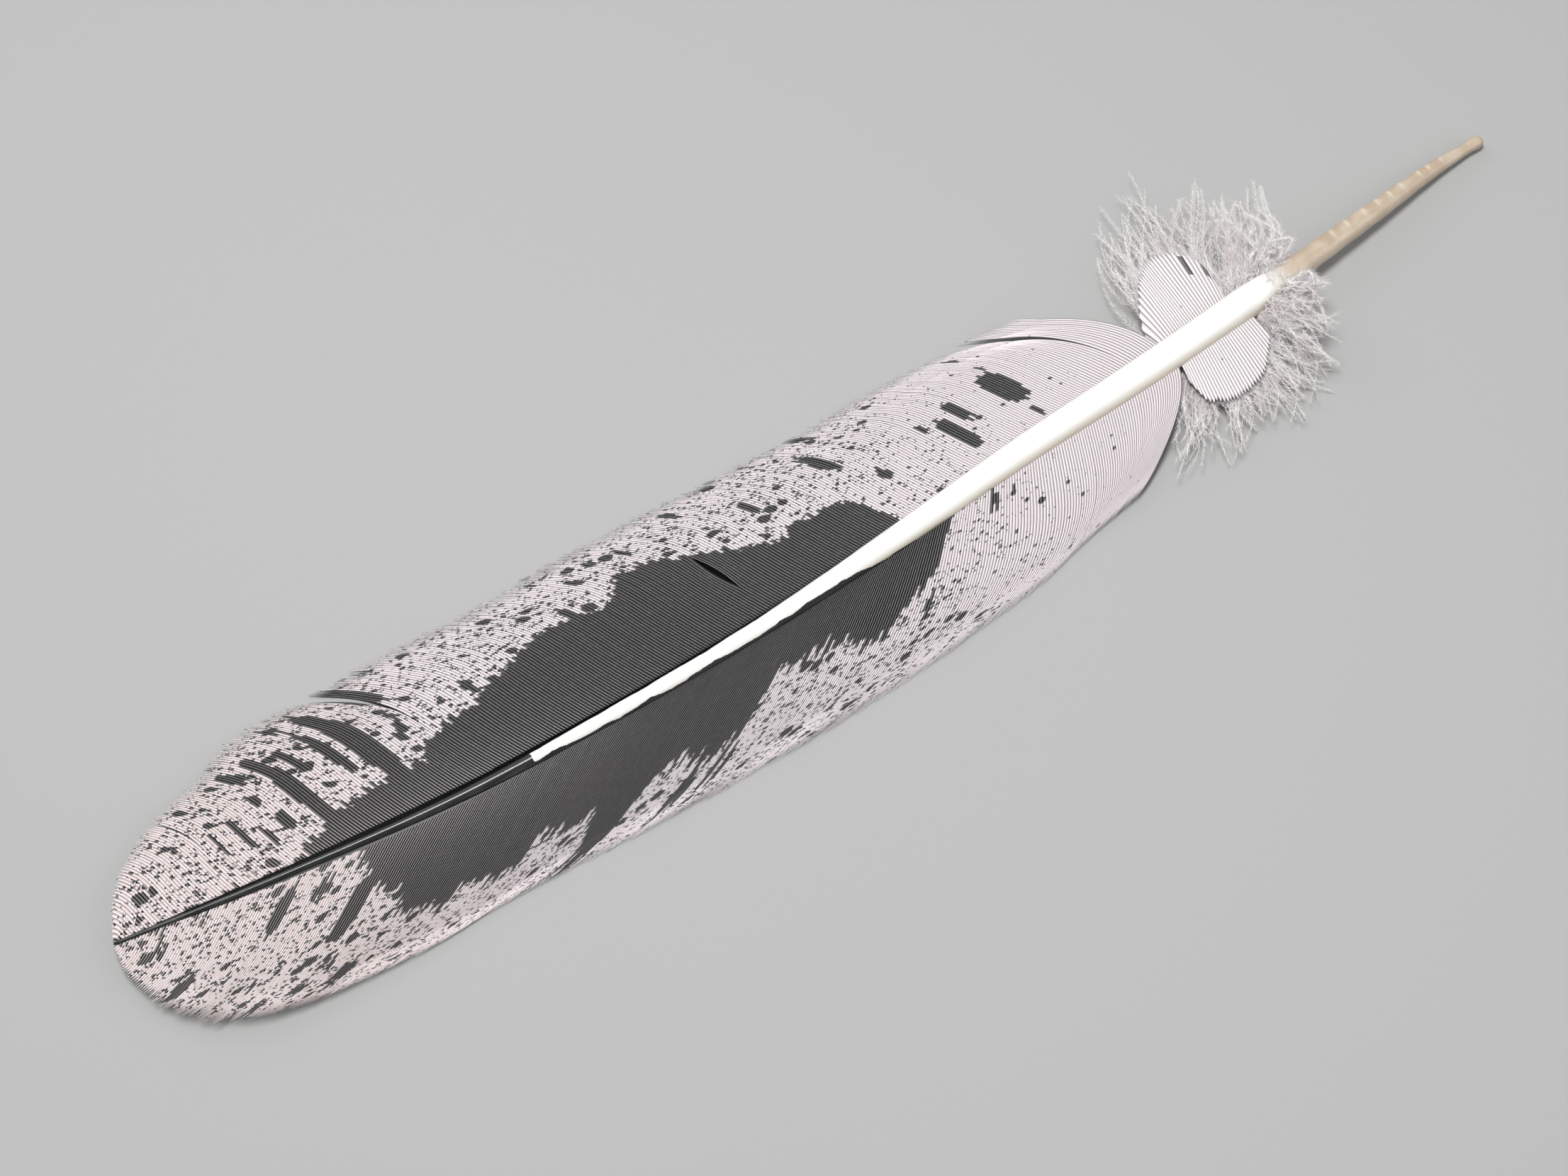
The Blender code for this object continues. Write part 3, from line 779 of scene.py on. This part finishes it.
# %% The shaft's surface
SHAFT_STEP = 0.5
SHAFT_SIDES = 40
GROOVE_DEPTH, GROOVE_WIDTH, GROOVE_TO = 0.34, 0.42, 84.0
SWELLING_AT, SWELLING_WIDTH, SWELLING_RISE = 83.0, 1.8, 0.30
QUILL_FROM, QUILL_OVER = 88.0, 10.0
RINGS = np.array([109.1, 113.0, 117.7, 121.6, 125.0, 128.3, 133.4, 136.1, 139.7])
RING_WIDTH = 0.34
RING_FACES, RING_SPREAD = math.radians(66.0), math.radians(38.0)
BLACK_FROM = -76.1
FLANK_PAINT_TO = 3.0
FLANK_ANGLE = math.radians(34.0)


def round_off(x):
    """The share of the radius near both ends: the root of 1 less u squared over the last bit."""
    quill = np.clip((x - 149.2) / 0.85, 0.0, 0.995)
    tip = np.clip((-149.5 - x) / 0.9, 0.0, 0.995)
    return np.sqrt((1 - quill ** 2) * (1 - tip ** 2))


def shaft_piece():
    """Points by station and angle, with the angle counted from the wide side over the top."""
    closing = np.array([149.3, 149.6, 149.8, 149.95, 150.04])
    x = np.concatenate([[-150.39, -150.3, -150.1], np.arange(-149.8, 149.2, SHAFT_STEP), closing])
    blur = np.exp(-np.linspace(-2.5, 2.5, 11) ** 2)
    spread = np.linspace(-1.0, 1.0, 11)[:, None]
    radius = (shaft_radius(x + spread) * blur[:, None]).sum(axis=0) / blur.sum()
    angle = np.linspace(0.0, math.tau, SHAFT_SIDES, endpoint=False)
    station, turned = np.meshgrid(x, angle, indexing="ij")
    below = np.arctan2(np.cos(turned), -np.sin(turned))
    groove = GROOVE_DEPTH * np.exp(-(below / GROOVE_WIDTH) ** 2) * ease_in(-station, -GROOVE_TO, 9.0)
    swelling = np.exp(-((station - SWELLING_AT) / SWELLING_WIDTH) ** 2)
    swelling *= SWELLING_RISE * np.maximum(np.sin(turned), 0.0) ** 2
    squared = 1 + 0.025 * np.cos(4 * turned) * ease_in(-station, -80.0, 30.0)
    knob = 1 + 0.07 * np.sin(3 * turned + 1.2) * ease_in(station, 146.0, 3.0)
    dents = 1 + 0.012 * np.sin(station * 0.9 + 2 * np.sin(turned)) * ease_in(station, 92.0, 12.0)
    size = radius[:, None] * squared * knob * dents * (1 - groove) * round_off(x)[:, None] + swelling
    points = np.stack([
        station,
        shaft_side(station) + size * np.cos(turned),
        shaft_height(station) + size * np.sin(turned),
    ], axis=-1)
    count = len(x)
    index = np.arange(count * SHAFT_SIDES).reshape(count, SHAFT_SIDES)
    turned_on = np.roll(index, -1, axis=1)
    walls = np.stack([index[:-1], index[1:], turned_on[1:], turned_on[:-1]], axis=-1)
    caps = np.stack([index[0], index[-1, ::-1]])
    lift = np.arcsin(np.sin(turned))
    flank = radius[:, None] * (FLANK_ANGLE * ease_in(-station, -FLANK_PAINT_TO, 20.0) - lift)
    flank = np.minimum(flank, FLANK_PAINT_TO - station)
    ink = np.maximum(BLACK_FROM - station, flank)
    offset = station[..., None] + 0.8 * np.sin(turned)[..., None] - RINGS
    ring = np.exp(-(offset / RING_WIDTH) ** 2).sum(axis=-1)
    ring *= np.exp(-((turned - RING_FACES) / RING_SPREAD) ** 2)
    values = {
        "ink": ink,
        "ring": ring,
        "quill": ease_in(station, QUILL_FROM, QUILL_OVER),
        # Painted shade, by how far the surface faces down
        "flank_shade": ease_in(-lift, -math.radians(48.0), math.radians(40.0)),
    }
    faces = [walls.reshape(-1, 4), caps]
    return make_piece("shaft", points.reshape(-1, 3), faces, shaft_horn("shaft horn"), values)


shaft_piece()

# %% [markdown]
# ## The down
# Around the top of the quill the barbs have no hooks, so they don't zip into a vane. They are
# soft plumes that stand in tufts, and each plume carries fine barbules to both sides like a
# little feather. Hair particles would draw this too, but an export drops them. So a plume is a
# thin bent tube, and each barbule a three-sided spike on it, tens of thousands in one array.

# %% The finish of the down
DOWN_WHITE = (0.98, 0.945, 0.94, 1.0)
DOWN_SHADE = (0.92, 0.855, 0.85, 1.0)


def down_finish(name):
    """Soft white, a little darker and pinker here and there."""
    material, tree, shader = new_material(name, Roughness=0.6, Sheen_Weight=0.3)
    place = add_node(tree, "ShaderNodeTexCoord").outputs["Object"]
    clouds = add_node(tree, "ShaderNodeTexNoise", Vector=place, Scale=220.0, Detail=3.0).outputs[0]
    shade = step_up(tree, clouds, 0.42, 0.72)
    colour = blend_colours(tree, shade, DOWN_WHITE, DOWN_SHADE)
    tree.links.new(colour, shader.inputs["Base Color"])
    return material


soft_down = down_finish("soft down")

# %% The plumes
FAN_STATION = 84.0
WIDE_FAN = np.array([
    [14, 13], [37, 24], [49, 30], [61, 29], [79, 30], [93, 43], [103, 39], [118, 32],
])
NARROW_FAN = np.array([
    [18, 16], [47, 18], [60, 22], [84, 27], [120, 27], [132, 33], [139, 43], [155, 44],
])
FAN_ROOTS = (97.0, 69.0)
PLUME_POINTS = 12
PLUME_RADIUS = (0.065, 0.018)
DOWN_LOW, DOWN_HIGH = 0.7, 9.0
# The down lies under the lobes, and stands free beyond them
LOBE_CLEAR, OPEN_FROM, DOWN_FLOOR = 3.0, (83.0, 9.0), 0.35
BARBULE_LENGTH = 2.5
BARBULE_RADIUS = 0.04
BARBULE_SPACING = 0.36
SPLAY = math.radians(42.0)
# Spread of the twist in radians, of a whole plume and of each barbule
PLUME_TWIST, BARBULE_TWIST = 0.6, 0.35
TUBE_SIDES = 4


def plume_line(t, plume):
    """A plume's middle line at the shares t: straight from root to end, with a bow to the side
    that swells as sin(pi t), a smaller S as sin(2 pi t), and a rise as sin(pi t)."""
    traits = ("root", "end", "bow", "wave", "rise")
    root, end, bow, wave, rise = (plume[trait][:, None] for trait in traits)
    t = t[..., None]
    line = root + (end - root) * t ** 0.9
    along = plume["end"] - plume["root"]
    side = np.stack([-along[:, 1], along[:, 0], 0 * along[:, 0]], axis=-1)
    side /= np.linalg.norm(side, axis=-1, keepdims=True)
    swell, double = np.sin(math.pi * t), np.sin(math.tau * t)
    line = line + side[:, None] * (bow[..., None] * swell + wave[..., None] * double)
    line[..., 2:] += rise[..., None] * swell
    ceiling = LOBE_CLEAR + (DOWN_HIGH - LOBE_CLEAR) * ease_in(line[..., 0], *OPEN_FROM)
    line[..., 2] = np.clip(line[..., 2], DOWN_FLOOR, ceiling)
    return line


def draw_plumes(fan, sign, tufts, per_tuft, draw):
    """Roots on the shaft and ends in the fan: the plumes of a tuft end close together."""
    share = (np.arange(tufts) + draw.uniform(-0.3, 0.3, tufts)) / (tufts - 1)
    share = np.repeat(np.clip(share, 0.0, 1.0), per_tuft)
    count = len(share)
    turned = fan[0, 0] + (fan[-1, 0] - fan[0, 0]) * share
    reach = np.interp(turned, fan[:, 0], fan[:, 1])
    layer = np.repeat(draw.random(tufts), per_tuft)
    reach *= np.repeat(draw.uniform(0.72, 1.0, tufts), per_tuft) * draw.uniform(0.60, 1.02, count)
    turned = np.radians(turned + 3.5 * draw.standard_normal(count))
    root_x = FAN_ROOTS[0] + (FAN_ROOTS[1] - FAN_ROOTS[0]) * share + 1.2 * draw.standard_normal(count)
    end_x = FAN_STATION + reach * np.cos(turned)
    lift = draw.uniform(-0.2, 0.75, count) - 0.7 * ease_in(-root_x, -88.0, 6.0)
    radius = shaft_radius(root_x)
    root = np.stack([
        root_x,
        shaft_side(root_x) + sign * radius * np.cos(lift) * 0.85,
        shaft_height(root_x) + radius * np.sin(lift) * 0.85,
    ], axis=-1)
    end = np.stack([
        end_x,
        shaft_side(np.minimum(end_x, 148.0)) + sign * reach * np.sin(turned),
        DOWN_LOW + (DOWN_HIGH - DOWN_LOW) * np.clip(layer + 0.15 * draw.standard_normal(count), 0, 1),
    ], axis=-1)
    return {
        "root": root, "end": end, "bow": 2.2 * draw.standard_normal(count),
        "wave": 0.9 * draw.standard_normal(count), "rise": draw.uniform(-0.8, 2.2, count),
    }


def frame_along(line):
    """Unit vectors along a line, to its side and upwards, at each of its points."""
    ahead = np.gradient(line, axis=1)
    ahead /= np.linalg.norm(ahead, axis=-1, keepdims=True)
    side = np.cross([0.0, 0.0, 1.0], ahead)
    side /= np.linalg.norm(side, axis=-1, keepdims=True) + 1e-9
    return ahead, side, np.cross(ahead, side)


def tubes(line, radius):
    """Thin tubes around lines: the points, wall faces and cap faces."""
    _, side, up = frame_along(line)
    angle = np.arange(TUBE_SIDES) * math.tau / TUBE_SIDES
    ring = side[:, :, None] * np.cos(angle)[:, None] + up[:, :, None] * np.sin(angle)[:, None]
    points = line[:, :, None] + ring * radius[None, :, None, None]
    walls, caps = strip_faces(*points.shape[:3])
    return points.reshape(-1, 3), walls, caps


def spikes(base, direction, length, radius, draw):
    """Three-sided spikes: the base is a small triangle across the direction."""
    aside = np.cross(direction, draw.standard_normal(direction.shape))
    aside /= np.linalg.norm(aside, axis=-1, keepdims=True)
    other = np.cross(direction, aside)
    angle = np.arange(3) * math.tau / 3
    ring = aside[:, None] * np.cos(angle)[:, None] + other[:, None] * np.sin(angle)[:, None]
    foot = base[:, None] + ring * radius
    tip = base + direction * length[:, None]
    points = np.concatenate([foot, tip[:, None]], axis=1)
    index = 4 * np.arange(len(base))[:, None, None]
    corners = np.array([[0, 1, 3], [1, 2, 3], [2, 0, 3], [0, 2, 1]])
    return points.reshape(-1, 3), (index + corners).reshape(-1, 3)


def grow_down(name, fan, sign, tufts, per_tuft, seed):
    """All plumes on one side of the shaft, with barbules that leave them at the splay angle and
    point less outwards near the plume's end."""
    draw = np.random.default_rng(seed)
    plume = draw_plumes(fan, sign, tufts, per_tuft, draw)
    count = len(plume["root"])
    t = np.broadcast_to(np.linspace(0.0, 1.0, PLUME_POINTS), (count, PLUME_POINTS))
    radius = np.linspace(*PLUME_RADIUS, PLUME_POINTS)
    stems, walls, caps = tubes(plume_line(t, plume), radius)
    length = np.linalg.norm(plume["end"] - plume["root"], axis=1)
    per_side = int(length.mean() / BARBULE_SPACING)
    feet, ways, reach = [], [], []
    for hand in (-1.0, 1.0):
        share = (np.arange(per_side) + draw.uniform(0.0, 1.0, (count, per_side))) / per_side
        share = np.sort(0.06 + 0.94 * share, axis=1)
        line = plume_line(share, plume)
        nudge = plume_line(np.minimum(share + 0.01, 1.01), plume) - plume_line(share - 0.01, plume)
        ahead = nudge / np.linalg.norm(nudge, axis=-1, keepdims=True)
        side = np.cross([0.0, 0.0, 1.0], ahead)
        side /= np.linalg.norm(side, axis=-1, keepdims=True)
        up = np.cross(ahead, side)
        tilt = PLUME_TWIST * draw.standard_normal((count, 1))
        tilt = tilt + BARBULE_TWIST * draw.standard_normal(share.shape)
        splay = SPLAY * (1.25 - 0.6 * share) * draw.uniform(0.75, 1.25, share.shape)
        out = hand * side * np.cos(tilt)[..., None] + up * np.sin(tilt)[..., None]
        ways.append(ahead * np.cos(splay)[..., None] + out * np.sin(splay)[..., None])
        feet.append(line)
        reach.append(BARBULE_LENGTH * (1.1 - 0.55 * share) * draw.uniform(0.6, 1.15, share.shape))
    feet, ways = (np.concatenate(part).reshape(-1, 3) for part in (feet, ways))
    reach = np.concatenate(reach).ravel()
    low = feet[:, 2] + ways[:, 2] * reach < 0.05
    ways[low, 2] = np.maximum(ways[low, 2], 0.0)
    points, spines = spikes(feet, ways, reach, BARBULE_RADIUS, draw)
    faces = [walls, caps, spines + len(stems)]
    print(f"{name}: {count} plumes, {len(feet)} barbules")
    return make_piece(name, np.concatenate([stems, points]), faces, soft_down)


grow_down("wide_down", WIDE_FAN, 1.0, 26, 9, seed=101)
grow_down("narrow_down", NARROW_FAN, -1.0, 28, 10, seed=202)

# %% [markdown]
# ## The floor and the last line
# The floor is a plain pale sheet.

# %% Floor
FLOOR_COLOUR = (0.37, 0.37, 0.365, 1.0)
FLOOR_SIZE = 3.0
floor_finish = new_material("pale floor", Roughness=0.9, Base_Color=FLOOR_COLOUR)[0]
bpy.ops.mesh.primitive_plane_add(size=FLOOR_SIZE, location=(0.0, 0.0, 0.0))
floor = bpy.context.active_object
floor.name = "floor"
floor.data.materials.append(floor_finish)

# %% Finish
print(len(pieces), "pieces:", ", ".join(pieces))
